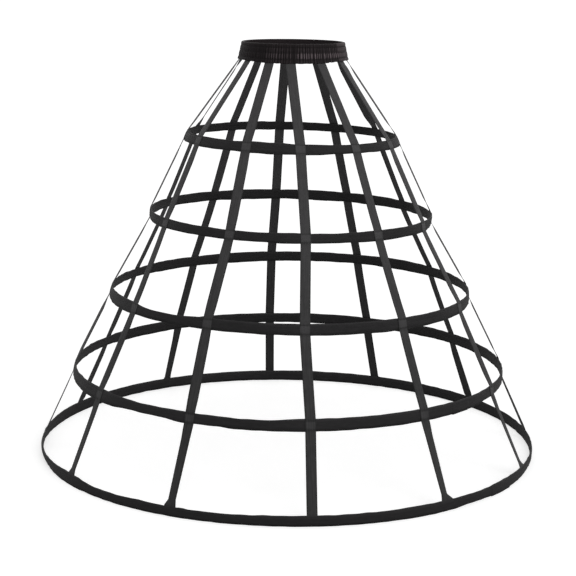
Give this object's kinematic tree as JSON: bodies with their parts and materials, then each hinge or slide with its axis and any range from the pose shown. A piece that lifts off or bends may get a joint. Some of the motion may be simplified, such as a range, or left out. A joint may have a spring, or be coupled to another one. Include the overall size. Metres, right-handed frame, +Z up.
{
  "type": "crinoline cage",
  "caption": "Bell-shaped crinoline cage: sprung steel hoops in fabric casings hang on flat tapes from a gathered elastic waistband, to hold a skirt out.",
  "frame": {"origin": "middle of the cage on the surface that the lowest hoop stands on", "axes": "+Z up through the waist, -Y towards the wearer's front, +X to the left hand of someone who wears it"},
  "size_m": [1.0606, 1.0606, 0.8702],
  "materials": {
    "gathered_satin": "satin",
    "knitted_elastic": "matte",
    "woven_tape": "satin",
    "casing_fabric": "matte",
    "coated_steel": "satin",
    "plain_steel": "satin"
  },
  "bodies": {
    "root": {"waistband": "gathered_satin", "waist_elastic": "knitted_elastic", "tape_01": "woven_tape", "tape_02": "woven_tape", "tape_03": "woven_tape", "tape_04": "woven_tape", "tape_05": "woven_tape", "tape_06": "woven_tape", "tape_07": "woven_tape", "tape_08": "woven_tape", "tape_09": "woven_tape", "tape_10": "woven_tape", "tape_11": "woven_tape", "tape_12": "woven_tape", "hoop_1_casing": "casing_fabric", "hoop_1_bone": "coated_steel", "hoop_1_joiner": "plain_steel", "hoop_2_casing": "casing_fabric", "hoop_2_bone": "coated_steel", "hoop_2_joiner": "plain_steel", "hoop_3_casing": "casing_fabric", "hoop_3_bone": "coated_steel", "hoop_3_joiner": "plain_steel", "hoop_4_casing": "casing_fabric", "hoop_4_bone": "coated_steel", "hoop_4_joiner": "plain_steel", "hoop_5_casing": "casing_fabric", "hoop_5_bone": "coated_steel", "hoop_5_joiner": "plain_steel"}
  },
  "joints": []
}
